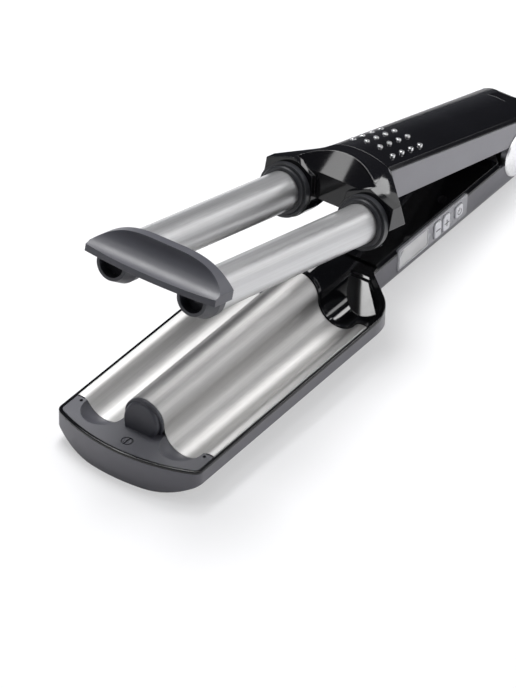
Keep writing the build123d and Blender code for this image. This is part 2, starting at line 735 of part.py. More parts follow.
def hinge_cap(side):
    disc = rod_y(cap_r, lower_ear_y + 1.6, cap_out_y, hinge_x, hinge_z)
    rim = disc.edges().group_by(Axis.Y)[-1]
    disc = chamfer(rim, cap_edge)
    disc += rod_y(6.0, lower_ear_y, lower_ear_y + 1.8, hinge_x, hinge_z)
    disc -= rod_y(pin_r + running, lower_ear_y - 1, lower_ear_y + 1.3, hinge_x, hinge_z)
    return disc if side == LEFT else mirror(disc, about=Plane.XZ)


def hinge_spring():
    """Torsion spring on the pin, one leg on the lower bracket, one under the upper one."""
    pitch = spring_wire * 1.15
    height = pitch * spring_turns
    coil = Helix(pitch=pitch, height=height, radius=spring_r)
    profile = Plane(origin=coil @ 0, z_dir=coil % 0) * RegularPolygon(spring_wire / 2, 8)
    wire = sweep(profile, path=coil, is_frenet=True)
    wire = Pos(hinge_x, height / 2, hinge_z) * Rot(90, 0, 0) * wire
    foot = rod_z(spring_wire / 2, floor_z + ear_t, hinge_z + 0.4, hinge_x + spring_r, height / 2)
    leg = rod_x(spring_wire / 2, hinge_x - 20, hinge_x + 0.4, -height / 2, hinge_z + spring_r)
    return wire + foot + leg


# ---- upper arm, drawn closed -------------------------------------------------------------
def cover_height(x):
    """Share of the way from the handle's front to its rear."""
    return (x - deck_front_x) / (upper_rear_x - deck_front_x)


def side_top(x):
    return side_front_z + (side_rear_z - side_front_z) * cover_height(x)


def crown_face(x, inside):
    """Section of the handle's black top at x: upright edge, bevel and shallow crown."""
    low = side_top(x)
    w = handle_half_w - inside
    bw = handle_half_w - bevel_in - inside * 0.6
    bz = low + bevel_up - inside * 0.8
    top = bz + crown_rise - inside * 0.2
    base = low - (3 if inside else 0)
    edges = [ThreePointArc((x, -bw, bz), (x, 0, top), (x, bw, bz)),
             Line((x, -w, base), (x, w, base))]
    for s in (LEFT, RIGHT):
        edges.append(Line((x, s * bw, bz), (x, s * w, low)))
        if inside:
            edges.append(Line((x, s * w, low), (x, s * w, base)))
    return make_face(edges)


def rounded_rear(z0, z1):
    """Side view of the handle's rear end: upright, with a large rounded top corner."""
    x0 = seam_foot_x - 60
    body = block((x0, upper_rear_x), (-far, far), (z0, z1))
    top = body.edges().filter_by(Axis.Y).group_by(Axis.X)[-1].group_by(Axis.Z)[-1]
    return fillet(top, upper_corner_r)


def handle_envelope():
    z_top = side_top(upper_rear_x) + bevel_up + crown_rise
    rear = rounded_rear(0, z_top + 0.01)
    rest = block((seam_foot_x - 60, upper_rear_x - 2 * upper_corner_r), (-far, far), (0, far))
    return (rear + rest) & seam_prism(seam, upper_rear_x, 0, far)


def top_cover():
    """Black top shell of the handle, with posts for its screws and holes for the grip pins."""
    outer = loft([crown_face(cover_front_x, 0), crown_face(upper_rear_x, 0)], ruled=True)
    inner = loft([crown_face(cover_front_x - 1, cover_t), crown_face(upper_rear_x - cover_t, cover_t)],
                 ruled=True)
    cover = (outer - inner) & handle_envelope()
    for x in cover_screw_xs:
        low = liner_top_z + (tongue_t if x < tongue_end_x else 0)
        cover += rod_z(screw_r + 1.6, low, cover_z(x, 0) - cover_t / 2, x, 0)
        cover -= rod_z(screw_r, low - 1, low + 7, x, 0)
    for x, y in pin_places():
        z = cover_z(x, y)
        cover -= Pos(x, y, z - cover_t / 2) * extrude(RegularPolygon(pin_r_out + fit_gap, 8), cover_t)
    return cover


def cover_z(x, y):
    """Height of the crown at x, y."""
    bw = handle_half_w - bevel_in
    r = (bw ** 2 + crown_rise ** 2) / (2 * crown_rise)
    return side_top(x) + bevel_up + crown_rise - (r - sqrt(r ** 2 - y ** 2))


def pin_places():
    steps = (0, 1, 2, 3)
    return [(pin_x + i * pin_pitch_x, (j - 1.5) * pin_pitch_y) for i in steps for j in steps]


def grip_pins():
    """Small raised pips in a four by four grid on the handle's crown."""
    pips = []
    for x, y in pin_places():
        z = cover_z(x, y)
        pips.append(Pos(x, y, z - cover_t / 2) * extrude(RegularPolygon(pin_r_out, 8),
                                                         cover_t / 2 + pin_proud, taper=pin_taper))
    return Compound(children=pips)


def upper_frame():
    """Grey sides of the upper handle, joined by ribs and a rear wall."""
    low = upper_floor_z
    w = handle_half_w
    body = across([(cover_front_x, low), (upper_rear_x, low),
                   (upper_rear_x, side_top(upper_rear_x) - cover_gap),
                   (cover_front_x, side_top(cover_front_x) - cover_gap)], -w, w)
    inner = block((0, upper_rear_x - wall), (-w + cover_t, w - cover_t), (low - 1, far))
    walls = body - inner
    for x in rib_xs:
        rib = [(x, liner_top_z), (x + 2, liner_top_z), (x + 2, side_top(x) - 4), (x, side_top(x) - 4)]
        walls += across(rib, -w + cover_t - 0.1, w - cover_t + 0.1)
    walls &= handle_envelope()
    return walls - rod_y(cap_r + cap_gap, -far, far, hinge_x, hinge_z)


def upper_liner():
    """Black plate that closes the underside of the upper handle."""
    w = handle_half_w - cover_t - 0.1
    plate = block((seam_foot_x + 1, deck_rear_x), (-w, w), (upper_floor_z, liner_top_z))
    for x in cover_screw_xs:
        plate -= rod_z(screw_head_r + 0.2, upper_floor_z - 1, upper_floor_z + cover_sink, x, 0)
        plate -= rod_z(screw_r + 0.1, 0, 9, x, 0)
    return plate


def cover_screws():
    screws = []
    for x in cover_screw_xs:
        screws.append(screw(x, 0, upper_floor_z + cover_sink - screw_head_t, liner_top_z + 7))
    return Compound(children=screws)


def yoke_section(foot, top_z, bend, corner):
    """Section of the yoke on a plane parallel to the seam: arch, sloping flanks, upright sides.

    `bend` is where the arch ends and `corner` the top of the upright side, both as (y, z).
    """
    def place(y, z):
        return (foot - seam_lean * z, y, z)
    low = (corner[0], upper_floor_z)
    edges = [ThreePointArc(place(-bend[0], bend[1]), place(0, top_z), place(*bend))]
    edges.append(Line(place(*bend), place(*corner)))
    edges.append(Line(place(*corner), place(*low)))
    edges.append(Line(place(*low), place(-low[0], low[1])))
    edges.append(Line(place(-low[0], low[1]), place(-corner[0], corner[1])))
    edges.append(Line(place(-corner[0], corner[1]), place(-bend[0], bend[1])))
    return make_face(edges)


def barrel_yoke():
    """Gloss black yoke: arched roof flowing into the handle, scoop, web, and a lobe per barrel."""
    foot, inner, top = [(side_y + y, z) for y, z in (face_foot, face_inner, face_top)]
    corner = (yoke_half_w, face_outer_z)
    neck_bend = (handle_half_w - bevel_in, seam_level(bevel_up))
    wide = yoke_section(shoulder_foot_x, crown_z, top, corner)
    neck = yoke_section(seam_foot_x, seam_level(bevel_up + crown_rise), neck_bend,
                        (handle_half_w, seam_level(0)))
    narrowing = seam_prism(shoulder_foot_x - seam_foot_x, far, -far, far)
    web = along(both([top, corner, (yoke_half_w, upper_floor_z)]), web_front_x, shoulder_foot_x)
    roof = loft([wide, neck], ruled=True) + (web - narrowing)
    low_x = web_front_x - seam_lean * crown_z
    scoop = [(low_x, scoop_low_z), (web_front_x, scoop_low_z),
             (web_front_x + scoop_lean * (far - scoop_low_z), far), (low_x, far)]
    roof -= across(scoop, -top[0], top[0])
    side = [foot, inner, top, corner, (yoke_half_w, upper_floor_z)]
    front = along(side, lobe_front_x, shoulder_foot_x) - narrowing
    yoke = roof + closed(front) + lobes(0, lobe_front_x)
    yoke -= block((pocket_x, far), (-pocket_half_w, pocket_half_w), (liner_top_z, scoop_low_z))
    tongue = block((pocket_x - 1, tongue_end_x), (-tongue_half_w, tongue_half_w),
                   (liner_top_z, liner_top_z + tongue_t))
    yoke += tongue - rod_z(screw_r + 0.1, 0, liner_top_z + 2 * tongue_t, cover_screw_xs[0], 0)
    for s in (LEFT, RIGHT):
        yoke -= rod_x(barrel_r + fit_gap, lobe_front_x - 1, socket_end_x, s * side_y)
        yoke -= rod_x(collar_r - 1.2, lobe_front_x - 1, lobe_front_x + 1.5, s * side_y)
    return yoke


def barrel(side):
    tube = rod_x(barrel_r, barrel_front_x, socket_end_x - fit_gap, side * side_y)
    return tube - rod_x(barrel_r - barrel_wall, barrel_front_x - 1, socket_end_x, side * side_y)


def collar(side):
    """Stepped heat collar where a barrel enters the yoke."""
    y = side * side_y
    ring = rod_x(collar_step_r, collar_front_x, collar_front_x + 2, y)
    ring += rod_x(collar_r, collar_front_x + 1.6, lobe_front_x - 0.05, y)
    ring = chamfer(ring.edges().filter_by(GeomType.CIRCLE).sort_by(Axis.X)[0:1], 0.5)
    ring += rod_x(collar_r - 1.3, lobe_front_x - 0.2, lobe_front_x + 1.4, y)
    return ring - rod_x(barrel_r + fit_gap, collar_front_x - 1, lobe_front_x + 2, y)


def barrel_core(side):
    """Two half-round aluminium shoes that carry a barrel's flat heater."""
    y = side * side_y
    r = barrel_r - barrel_wall - fit_gap
    rod = rod_x(r, *core_x, y) - rod_x(screw_r, 0, core_x[0] + 9, y)
    half = barrel_heater_t / 2 + fit_gap
    upper = rod & block((0, far), (y - far, y + far), (half, far))
    lower = rod & block((0, far), (y - far, y + far), (-far, -half))
    return Compound(children=[upper, lower])


def barrel_heater(side):
    y = side * side_y
    half = barrel_heater_t / 2
    return block((core_x[0] + 12, core_x[1] - 6), (y - barrel_r * 0.64, y + barrel_r * 0.64), (-half, half))


def scoop_space(depth):
    """The rounded scoop of the hood, grown by a depth."""
    run = hood_rear_x - hood_rim - hood_front_x
    face = Plane.XZ * Ellipse(run + depth, hood_top_z - hood_lip_z + depth)
    return Pos(hood_front_x, 0, hood_top_z) * extrude(face, amount=far, both=True)


def cap_form(gap, side):
    """Outer form of a barrel's end cap, tapered at the front and flattened under the scoop."""
    y = side * side_y
    nose = Pos(pod_front_x - gap, y, 0) * Rot(0, 90, 0) * Circle(pod_nose_r + gap)
    full = Pos(pod_full_x - gap, y, 0) * Rot(0, 90, 0) * Circle(pod_r + gap)
    form = loft([nose, full]) + rod_x(pod_r + gap, pod_full_x - gap, hood_rear_x, y)
    return form - scoop_space(hood_t + fit_gap - gap)


def pod(side):
    """End cap of a barrel under the hood, with a spigot and a deep screw recess."""
    y = side * side_y
    inner_r = barrel_r - barrel_wall - fit_gap
    body = cap_form(0, side)
    body -= rod_x(barrel_r + fit_gap, barrel_front_x - fit_gap, far, y)
    body += rod_x(inner_r, barrel_front_x - 0.5, barrel_front_x + spigot_len, y)
    body -= rod_x(recess_r, pod_front_x - 1, pod_front_x + recess_deep, y)
    return body - rod_x(screw_r + 0.1, -far, far, y)


def pod_screws():
    screws = []
    seat = pod_front_x + recess_deep
    for s in (LEFT, RIGHT):
        y = s * side_y
        head = rod_x(screw_head_r, seat - screw_head_t, seat, y)
        slot = block((seat - screw_head_t, seat - screw_head_t / 2), (y - 0.4, y + 0.4), (-far, far))
        screws.append(head - slot + rod_x(screw_r, seat - 0.1, core_x[0] + 8, y))
    return Compound(children=screws)


def tip_bridge():
    """Dark hood that ties the two barrels' free ends, scooped on top and hollow below."""
    lip_x, rear = hood_front_x, hood_rear_x
    crown = [(rear, side_y + y, z) for y, z in hood_crown]
    over = crown + [(rear, 0, hood_top_z)] + [(x, -y, z) for x, y, z in reversed(crown)]
    foot = [(rear, s * hood_half_w, hood_low_z) for s in (LEFT, RIGHT)]
    front = make_face([Spline(*over), Line(over[-1], foot[1]), Line(*foot), Line(foot[0], over[0])])
    tips_x = lip_x + hood_bow
    bow = ThreePointArc((tips_x, -hood_half_w), (lip_x, 0), (tips_x, hood_half_w))
    plan = make_face([bow, Polyline((tips_x, hood_half_w), (rear, hood_half_w), (rear, -hood_half_w),
                                    (tips_x, -hood_half_w))])
    body = extrude(front, amount=rear - lip_x, dir=(-1, 0, 0)) & slab(plan, hood_low_z, hood_top_z)
    body -= scoop_space(0)
    half_w = side_y - pod_r - seam
    hollow = block((lip_x + hood_bow, rear - 2 * hood_t), (-half_w, half_w), (0, far))
    body -= Pos(hood_t, 0, -hood_t) * body & hollow
    body -= rod_x(ridge_r + 2 * seam, -stub_ring_w - 2 * seam, rear + 1)
    return body - cap_form(fit_gap, LEFT) - cap_form(fit_gap, RIGHT)


os.makedirs("parts", exist_ok=True)

save("lower_housing", lower_housing())
save("head_frame", head_frame())
save("wave_plate", wave_plate())
save("end_piece", end_piece())
save("end_piece_screw", screw(end_screw_x, 0, rim_top_z - 0.2, floor_z + 0.8))
save("heater_clamps", heater_clamps())
save("clamp_screws", clamp_screws())
save("thermistor", sensor(RIGHT))
save("thermal_fuse", sensor(LEFT))
save("handle_deck", handle_deck())
save("housing_screws", housing_screws())
save("control_panel", control_panel())
save("lcd_window", lcd_window())
save("lcd_module", lcd_module())
save("control_board", control_board())
save("tact_switches", tact_switches())
save("main_board", main_board())
save("minus_button", button(minus_x, button_w, button_z))
save("plus_button", button(plus_x, button_w, button_z))
save("power_button", button(power_x, power_w, power_z))
save("cord_gland", cord_gland())
save("lower_hinge_bracket", lower_bracket())
save("hinge_pin", hinge_pin())
save("hinge_spring", hinge_spring())
save("stop_pad", stop_pad())

save_open("upper_hinge_bracket", upper_bracket())
save_open("upper_frame", upper_frame())
save_open("top_cover", top_cover())
save_open("grip_pins", grip_pins())
save_open("upper_liner", upper_liner())
save_open("cover_screws", cover_screws())
save_open("barrel_yoke", barrel_yoke())
save_open("tip_bridge", tip_bridge())
save_open("pod_screws", pod_screws())

for name, side in (("left", LEFT), ("right", RIGHT)):
    save(f"trough_saddle_{name}", plate_saddle(side))
    save(f"plate_heater_{name}", plate_heater(side))
    save(f"hinge_cap_{name}", hinge_cap(side))
    save_open(f"barrel_{name}", barrel(side))
    save_open(f"barrel_collar_{name}", collar(side))
    save_open(f"barrel_core_{name}", barrel_core(side))
    save_open(f"barrel_heater_{name}", barrel_heater(side))
    save_open(f"barrel_pod_{name}", pod(side))
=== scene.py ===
"""Looks of the hair waver: finishes, small trim, floor, light and camera round the CAD frame."""

import json
from math import cos, pi, radians, sin

import bmesh
import bpy
from mathutils import Matrix, Vector

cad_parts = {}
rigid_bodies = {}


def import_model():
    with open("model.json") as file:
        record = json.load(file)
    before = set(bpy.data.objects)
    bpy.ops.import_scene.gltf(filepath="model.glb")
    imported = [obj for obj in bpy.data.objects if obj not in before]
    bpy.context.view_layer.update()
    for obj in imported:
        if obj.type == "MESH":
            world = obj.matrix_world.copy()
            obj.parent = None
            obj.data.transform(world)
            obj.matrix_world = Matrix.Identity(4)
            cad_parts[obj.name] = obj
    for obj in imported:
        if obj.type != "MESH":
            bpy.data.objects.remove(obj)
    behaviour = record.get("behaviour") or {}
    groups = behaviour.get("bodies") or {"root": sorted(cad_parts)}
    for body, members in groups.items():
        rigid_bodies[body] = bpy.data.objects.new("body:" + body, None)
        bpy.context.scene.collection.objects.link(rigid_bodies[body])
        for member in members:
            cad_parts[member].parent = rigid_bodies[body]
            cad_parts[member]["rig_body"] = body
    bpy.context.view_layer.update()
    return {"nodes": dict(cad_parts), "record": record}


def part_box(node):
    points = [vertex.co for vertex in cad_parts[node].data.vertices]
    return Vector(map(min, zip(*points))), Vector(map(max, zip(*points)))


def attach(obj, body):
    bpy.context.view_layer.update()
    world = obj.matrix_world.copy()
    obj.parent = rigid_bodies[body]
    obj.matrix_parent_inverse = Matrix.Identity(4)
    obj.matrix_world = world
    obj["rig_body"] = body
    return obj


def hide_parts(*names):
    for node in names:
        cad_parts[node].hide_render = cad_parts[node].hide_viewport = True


MM = 0.001
OPEN_DEG = 14.7                       # how far the upper arm is turned up at rest
ARM_UP = Vector((sin(radians(OPEN_DEG)), 0, cos(radians(OPEN_DEG))))    # out of its top cover
ARM_SIDE = Vector((0, 1, 0))          # along the hinge pin

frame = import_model()
NODES = frame["nodes"]


def link_object(name, data):
    made = bpy.data.objects.new(name, data)
    bpy.context.scene.collection.objects.link(made)
    return made


# ---- node material helpers ---------------------------------------------------------------
MIX_SOCKETS = {"RGBA": (6, 7, 2), "VECTOR": (4, 5, 1)}     # a Mix node's first, second, result
NOISE_LOW, NOISE_HIGH = 0.3, 0.7      # where most of a noise value lies
CROWN_FROM, CROWN_FULL = 0.70, 0.78   # how far a face looks up the arm to count as its crown
EDGE_SAMPLES = 6                      # rays that look for an edge to ease


def add_node(tree, kind, inputs=(), **settings):
    """A new node. Each of its inputs takes a plain number or another node's output."""
    node = tree.nodes.new(kind)
    for key, value in settings.items():
        setattr(node, key, value)
    for key, value in dict(inputs).items():
        if isinstance(value, bpy.types.NodeSocket):
            tree.links.new(value, node.inputs[key])
        else:
            node.inputs[key].default_value = value
    return node


def mixed(tree, kind, share, first, second):
    """Between first and second by a share, for colours or vectors."""
    a, b, result = MIX_SOCKETS[kind]
    node = add_node(tree, "ShaderNodeMix", {0: share, a: first, b: second}, data_type=kind)
    return node.outputs[result]


def worked_out(tree, operation, first, second):
    return add_node(tree, "ShaderNodeMath", {0: first, 1: second}, operation=operation).outputs[0]


class Shader:
    """A material under construction: one Principled shader and the nodes that feed it."""

    def __init__(self, name, color, roughness, metallic=0.0, turn=0.0):
        self.material = bpy.data.materials.new(name)
        self.material.use_nodes = True
        self.material.diffuse_color = (*color, 1)
        self.tree = self.material.node_tree
        self.bsdf = self.tree.nodes["Principled BSDF"]
        self.color = color
        self.set(Base_Color=(*color, 1), Roughness=roughness, Metallic=metallic)
        self.normal = None
        self.place = self.node("ShaderNodeTexCoord").outputs["Object"]
        if turn:
            mapping = self.node("ShaderNodeMapping",
                                {"Vector": self.place, "Rotation": (0, radians(turn), 0)})
            self.place = mapping.outputs["Vector"]

    def node(self, kind, inputs=(), **settings):
        return add_node(self.tree, kind, inputs, **settings)

    def set(self, **values):
        """Plain numbers on the shader's own sockets."""
        for key, value in values.items():
            self.bsdf.inputs[key.replace("_", " ")].default_value = value

    def feed(self, key, output):
        """A node's output on one of the shader's own sockets."""
        self.tree.links.new(output, self.bsdf.inputs[key])

    def noise(self, per_metre, detail=3.0, stretch=(1, 1, 1)):
        """Noise with features of about 1 / per_metre, squeezed or drawn out along each axis."""
        mapping = self.node("ShaderNodeMapping", {"Vector": self.place, "Scale": stretch})
        texture = self.node("ShaderNodeTexNoise", {"Vector": mapping.outputs["Vector"],
                                                   "Scale": per_metre, "Detail": detail})
        return texture.outputs["Fac"]

    def spread(self, value, low, high):
        """Stretches a noise value to a range of plain numbers."""
        ramp = self.node("ShaderNodeMapRange", {"Value": value, "From Min": NOISE_LOW,
                                                "From Max": NOISE_HIGH, "To Min": low,
                                                "To Max": high})
        return ramp.outputs["Result"]

    def vary_color(self, value, darker, lighter):
        """The base colour between two shares of itself, by a noise value."""
        low = (*[c * darker for c in self.color], 1)
        high = (*[min(c * lighter, 1) for c in self.color], 1)
        self.feed("Base Color", mixed(self.tree, "RGBA", self.spread(value, 0, 1), low, high))

    def vary_roughness(self, value, low, high):
        self.feed("Roughness", self.spread(value, low, high))

    def ease(self, radius_mm):
        """Hard edges catch the light as if they were rounded over."""
        node = self.node("ShaderNodeBevel", {"Radius": radius_mm * MM}, samples=EDGE_SAMPLES)
        if self.normal:
            self.tree.links.new(self.normal, node.inputs["Normal"])
        self.normal = node.outputs["Normal"]
        self.feed("Normal", self.normal)

    def bump(self, value, height_mm):
        """Small height differences, on top of eased edges where there are any."""
        node = self.node("ShaderNodeBump", {"Height": value, "Distance": height_mm * MM,
                                            "Strength": 1.0})
        if self.normal:
            self.tree.links.new(self.normal, node.inputs["Normal"])
        self.feed("Normal", node.outputs["Normal"])

    def crown(self, share, shoulder):
        """Faces that look up the arm keep a share of their slope across, and roll to the right.

        shoulder: (mm from the middle to the right, slope) pairs, evenly blended between."""
        around = self.node("ShaderNodeTexCoord").outputs
        place = self.node("ShaderNodeSeparateXYZ", {0: around["Object"]}).outputs
        slope = self.node("ShaderNodeSeparateXYZ", {0: around["Normal"]}).outputs
        end = shoulder[-1][0]
        right = self.node("ShaderNodeMapRange", {"Value": place[1], "From Max": -end * MM})
        roll = self.node("ShaderNodeValToRGB", {"Fac": right.outputs["Result"]})
        stops = roll.color_ramp.elements
        for at, tilt in shoulder[1:-1]:
            stops.new(at / end)
        for stop, (at, tilt) in zip(stops, shoulder):
            stop.color = (tilt, tilt, tilt, 1)
        kept = worked_out(self.tree, "MULTIPLY", slope[1], share)
        across = worked_out(self.tree, "SUBTRACT", kept, roll.outputs["Color"])
        bent = self.node("ShaderNodeCombineXYZ", {0: slope[0], 1: across, 2: slope[2]})
        upward = self.node("ShaderNodeVectorMath", {0: around["Normal"], 1: ARM_UP},
                           operation="DOT_PRODUCT")
        top = self.node("ShaderNodeMapRange", {"Value": upward.outputs["Value"],
                                               "From Min": CROWN_FROM, "From Max": CROWN_FULL})
        shaded = mixed(self.tree, "VECTOR", top.outputs["Result"], around["Normal"],
                       bent.outputs[0])
        turned = self.node("ShaderNodeVectorTransform", {0: shaded}, vector_type="NORMAL",
                           convert_from="OBJECT", convert_to="WORLD")
        self.normal = turned.outputs[0]


# ---- finishes ----------------------------------------------------------------------------
MOULDED_EDGE_MM, GLOSS_EDGE_MM = 0.35, 0.55     # how round edges look


def moulded(name, color, roughness, grain=0.006):
    """Plain moulded plastic, slightly uneven in gloss, with a texture of `grain` mm."""
    shader = Shader(name, color, roughness)
    shader.ease(MOULDED_EDGE_MM)
    shader.vary_color(shader.noise(45), 0.96, 1.04)
    shader.vary_roughness(shader.noise(70), roughness * 0.92, roughness * 1.1)
    if grain:
        shader.bump(shader.noise(2600, detail=2), grain)
    shader.set(IOR=1.5)
    return shader.material


def gloss_black(name, color=(0.0045, 0.0045, 0.0055), roughness=0.06, gloss=1.47, crown=None):
    """Polished black plastic: faint flow waves and a little handling haze."""
    shader = Shader(name, color, roughness)
    if crown:
        shader.crown(*crown)
    shader.ease(GLOSS_EDGE_MM)
    shader.vary_color(shader.noise(30), 0.85, 1.2)
    shader.vary_roughness(shader.noise(90, detail=5), roughness * 0.8, roughness * 1.35)
    shader.bump(shader.noise(38, detail=1), 0.01)
    shader.set(IOR=gloss)
    return shader.material


def satin_coat(name, color, rough, lacquer, turn=0.0):
    """Satin titanium-coloured coating with a fine brushed grain along the arm."""
    shader = Shader(name, color, 0.42, metallic=1.0, turn=turn)
    grain = shader.noise(1500, detail=3, stretch=(0.006, 1, 1))
    shader.vary_color(grain, 0.95, 1.04)
    shader.vary_roughness(shader.noise(500, detail=2, stretch=(0.01, 1, 1)), *rough)
    shader.bump(grain, 0.0006)
    shader.set(Coat_Weight=lacquer, Coat_Roughness=0.16)
    return shader.material


def plain_metal(name, color, roughness):
    """Bare metal with slight patches of colour and gloss."""
    shader = Shader(name, color, roughness, metallic=1.0)
    shader.vary_color(shader.noise(300), 0.93, 1.05)
    shader.vary_roughness(shader.noise(700), roughness * 0.85, roughness * 1.2)
    return shader.material


def circuit(name, color):
    """Circuit board laminate with a faint cell pattern of tracks."""
    shader = Shader(name, color, 0.4)
    cells = shader.node("ShaderNodeTexVoronoi", {"Vector": shader.place, "Scale": 420})
    shader.vary_color(cells.outputs["Distance"], 0.7, 1.3)
    return shader.material


FINISHES = {        # by the record's material slots
    "grey_housing": moulded("grey_satin", (0.190, 0.187, 0.206), 0.30, grain=0.0015),
    "black_gloss": gloss_black("black_gloss"),
    "dark_moulding": moulded("dark_satin", (0.074, 0.075, 0.089), 0.40),
    "collar_resin": moulded("collar_satin", (0.028, 0.029, 0.033), 0.34, grain=0.004),
    "wave_coating": satin_coat("titanium_plate", (0.47, 0.465, 0.46), (0.46, 0.54), 0.25),
    "silver_cap": plain_metal("silver_cap", (0.86, 0.86, 0.87), 0.30),
    "steel": plain_metal("zinc_steel", (0.50, 0.50, 0.51), 0.32),
    "bare_aluminium": plain_metal("bare_aluminium", (0.75, 0.75, 0.76), 0.35),
    "heater_ceramic": moulded("heater_ceramic", (0.80, 0.79, 0.75), 0.6),
    "sensor_glass": moulded("sensor_resin", (0.60, 0.45, 0.25), 0.3),
    "circuit_board": circuit("green_laminate", (0.03, 0.16, 0.07)),
    "component_black": moulded("component_black", (0.03, 0.03, 0.03), 0.5),
    "panel_grey": moulded("panel_satin", (0.33, 0.33, 0.35), 0.26, grain=0.0015),
    "display_clear": gloss_black("display_window", (0.56, 0.56, 0.56), 0.10),
    "display_grey": moulded("display_grey", (0.30, 0.32, 0.29), 0.3),
    "button_white": moulded("button_white", (0.74, 0.74, 0.77), 0.22, grain=0.0),
    "soft_black": moulded("soft_black", (0.018, 0.018, 0.02), 0.6, grain=0.012),
}
# pale metal for the pips: they reflect the lamps as metal does, and their pale colour is a painted
# highlight that makes them show as bright spots
PIP_METAL_AND_HIGHLIGHT = plain_metal("pip_metal_and_highlight", (0.74, 0.74, 0.75), 0.28)
MARK_INK = moulded("mark_ink", (0.05, 0.05, 0.055), 0.4)
BEZEL_PAINT = moulded("bezel_paint", (0.62, 0.62, 0.64), 0.3)
DARK_SCREW = plain_metal("blackened_steel", (0.10, 0.10, 0.11), 0.34)
POD_RESIN = moulded("pod_resin", (0.048, 0.049, 0.057), 0.42)
BARREL_COAT = satin_coat("titanium_barrel", (0.58, 0.58, 0.585), (0.40, 0.48), 0.5,
                         turn=-OPEN_DEG)
COVER_BLACK = gloss_black("cover_black", gloss=1.30, crown=(0.35, ((0, 0), (42, 0))))
YOKE_BLACK = gloss_black("yoke_black", crown=(0, ((0, 0), (8, 0.06), (14, 0.34), (20, 0.58),
                                                  (26, 0.72), (33, 0.90), (42, 1.0))))
OWN_FINISH = {      # nodes that look a little different from the rest of their slot
    "end_piece_screw": DARK_SCREW,
    "pod_screws": DARK_SCREW,
    "top_cover": COVER_BLACK,
    "barrel_yoke": YOKE_BLACK,
    "lower_housing": moulded("housing_grey", (0.118, 0.116, 0.132), 0.30, grain=0.0015),
    "barrel_pod_left": POD_RESIN,
    "barrel_pod_right": POD_RESIN,
    "barrel_left": BARREL_COAT,
    "barrel_right": BARREL_COAT,
}


def dress_nodes():
    """Every CAD node takes its own finish or that of its slot."""
    for entry in frame["record"]["subparts"]:
        mesh = NODES[entry["node"]].data
        mesh.materials.clear()
        mesh.materials.append(OWN_FINISH.get(entry["node"], FINISHES[entry["material_slot"]]))
        for polygon in mesh.polygons:
            polygon.material_index = 0


# ---- pieces that stand for CAD nodes -----------------------------------------------------
SCOOP_OUT = Vector((-0.5446, 0, 0.8387))   # the yoke's scoop faces forward and up
SCOOP_MATCH = 0.9995                       # cosine within which a face belongs to the scoop
SCOOP_BEND = 7.5                           # turn of the scoop's face across, per metre


def dished_yoke():
    """The yoke again, with its scoop shaded as a shallow dish, not as a flat facet."""
    node = NODES["barrel_yoke"]
    mesh = node.data.copy()
    mesh.name = "dished_yoke"
    normals = [corner.vector.copy() for corner in mesh.corner_normals]
    for polygon in mesh.polygons:
        if polygon.normal.dot(SCOOP_OUT) > SCOOP_MATCH:
            for loop in polygon.loop_indices:
                y = mesh.vertices[mesh.loops[loop].vertex_index].co.y
                normals[loop] = (SCOOP_OUT - ARM_SIDE * y * SCOOP_BEND).normalized()
    mesh.normals_split_custom_set(normals)
    piece = link_object("dished_yoke", mesh)
    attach(piece, node["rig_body"])
    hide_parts("barrel_yoke")


def piece_from(form, name, body, finish, sharp_deg=35.0):
    """A piece of the scene from mesh code, riding on a body."""
    mesh = bpy.data.meshes.new(name)
    bmesh.ops.recalc_face_normals(form, faces=form.faces)
    form.to_mesh(mesh)
    form.free()
    mesh.shade_smooth()
    mesh.set_sharp_from_angle(angle=radians(sharp_deg))
    mesh.materials.append(finish)
    piece = link_object(name, mesh)
    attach(piece, body)
    return piece


def walls(form, rings):
    """Four-sided faces between each ring of vertices and the next."""
    for near, far in zip(rings, rings[1:]):
        for k in range(len(near)):
            after = (k + 1) % len(near)
            form.faces.new((near[k], near[after], far[after], far[k]))


def islands(form):
    """The separate groups of joined vertices, in the order of their first ones."""
    groups, seen = [], set()
    for start in form.verts:
        if start in seen:
            continue
        seen.add(start)
        group, queue = [], [start]
        while queue:
            vert = queue.pop()
            group.append(vert)
            for edge in vert.link_edges:
                other = edge.other_vert(vert)
                if other not in seen:
                    seen.add(other)
                    queue.append(other)
        groups.append(group)
    return groups


PIP_SIDES = 24
PIP_DOME = ((-0.35, 1.0), (-0.16, 0.93), (-0.05, 0.72), (-0.012, 0.40))    # mm up, share of radius
PIP_SHARP_DEG = 60


def pip_domes():
    """The sixteen grip pips as low round studs in place of the plain prisms, in a pale metal whose
    pale colour is partly a painted highlight.
    """
    source = bmesh.new()
    source.from_mesh(NODES["grip_pins"].data)
    bmesh.ops.remove_doubles(source, verts=source.verts, dist=0.001 * MM)
    ahead = ARM_SIDE.cross(ARM_UP)
    turns = [2 * pi * k / PIP_SIDES for k in range(PIP_SIDES)]
    form = bmesh.new()
    for island in islands(source):
        levels = [v.co.dot(ARM_UP) for v in island]
        top, foot = max(levels), min(levels) - max(levels)
        middle = sum((v.co for v in island), Vector()) / len(island)
        middle += ARM_UP * (top - middle.dot(ARM_UP))
        reach = [v.co - middle for v in island]
        radius = max((arm - ARM_UP * arm.dot(ARM_UP)).length for arm in reach)
        rings = []
        for lift, share in ((foot, 1.0), *((up * MM, share) for up, share in PIP_DOME)):
            rings.append([form.verts.new(middle + ARM_UP * lift +
                                         (ARM_SIDE * cos(a) + ahead * sin(a)) * radius * share)
                          for a in turns])
        walls(form, rings)
        form.faces.new(rings[-1])
        form.faces.new(rings[0][::-1])
    source.free()
    piece = piece_from(form, "pip_domes", NODES["grip_pins"]["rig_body"], PIP_METAL_AND_HIGHLIGHT,
                       PIP_SHARP_DEG)
    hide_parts("grip_pins")


